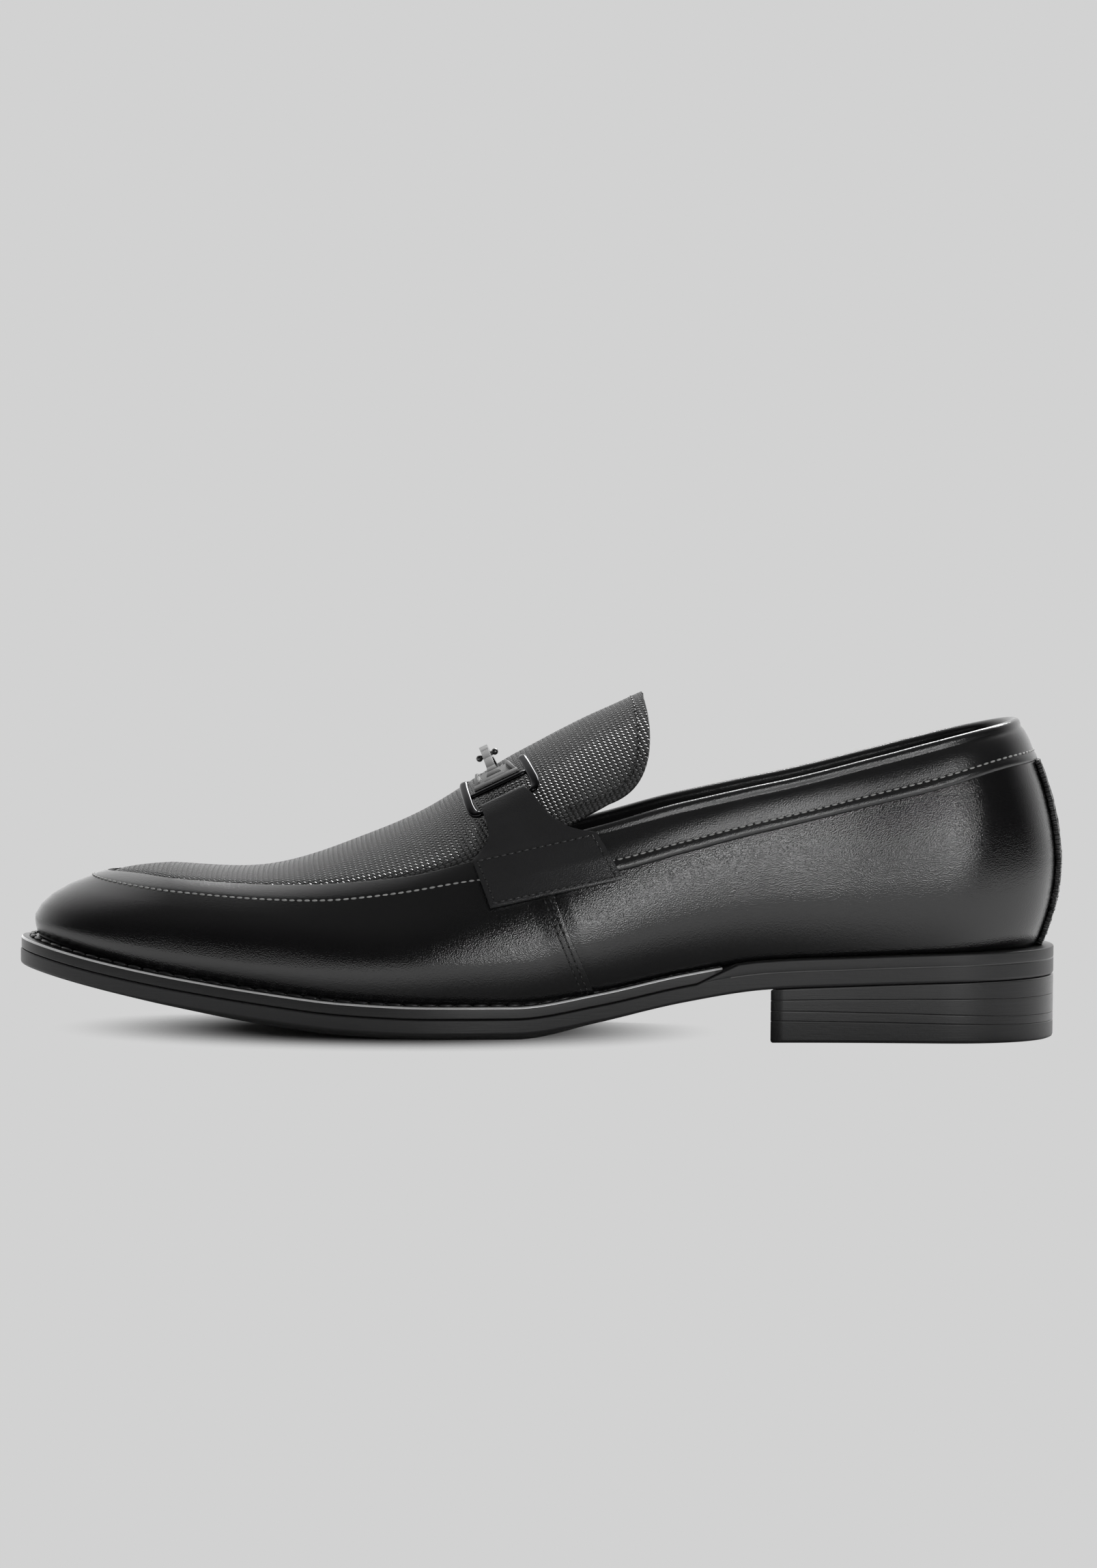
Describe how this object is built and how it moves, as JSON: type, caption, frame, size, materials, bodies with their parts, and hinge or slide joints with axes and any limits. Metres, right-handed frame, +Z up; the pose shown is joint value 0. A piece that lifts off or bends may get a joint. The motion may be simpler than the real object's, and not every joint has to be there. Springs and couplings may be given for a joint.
{
  "type": "bit loafer",
  "caption": "Man's black leather bit loafer: welted sole, low stacked heel, apron front with embossed plug and tongue, saddle straps holding a metal bit across the instep.",
  "frame": {"origin": "middle of the bounding box in plan, on the floor the shoe stands on", "axes": "+X from toe to heel, +Y towards the inner (medial) side, +Z up"},
  "size_m": [0.307, 0.1056, 0.1006],
  "materials": {
    "black_calf": "smooth with a soft polish",
    "embossed_leather": "embossed with a small woven pattern, semi-gloss",
    "stacked_heel": "stacked and blacked, satin",
    "sole_rubber": "matt dark grey",
    "lining": "matt",
    "gunmetal": "dark polished plating",
    "brushed_metal": "pale, fine brushed"
  },
  "bodies": {
    "root": {"outsole": "sole_rubber", "welt": "stacked_heel", "heel_lift_1": "stacked_heel", "heel_lift_2": "stacked_heel", "heel_lift_3": "stacked_heel", "top_lift": "sole_rubber", "insole": "lining", "upper": "black_calf", "plug_and_tongue": "embossed_leather", "backstay": "embossed_leather", "saddle_strap_lateral": "black_calf", "saddle_strap_medial": "black_calf", "bit_frame_lateral": "gunmetal", "bit_frame_medial": "gunmetal", "bit_link": "brushed_metal"}
  },
  "joints": []
}
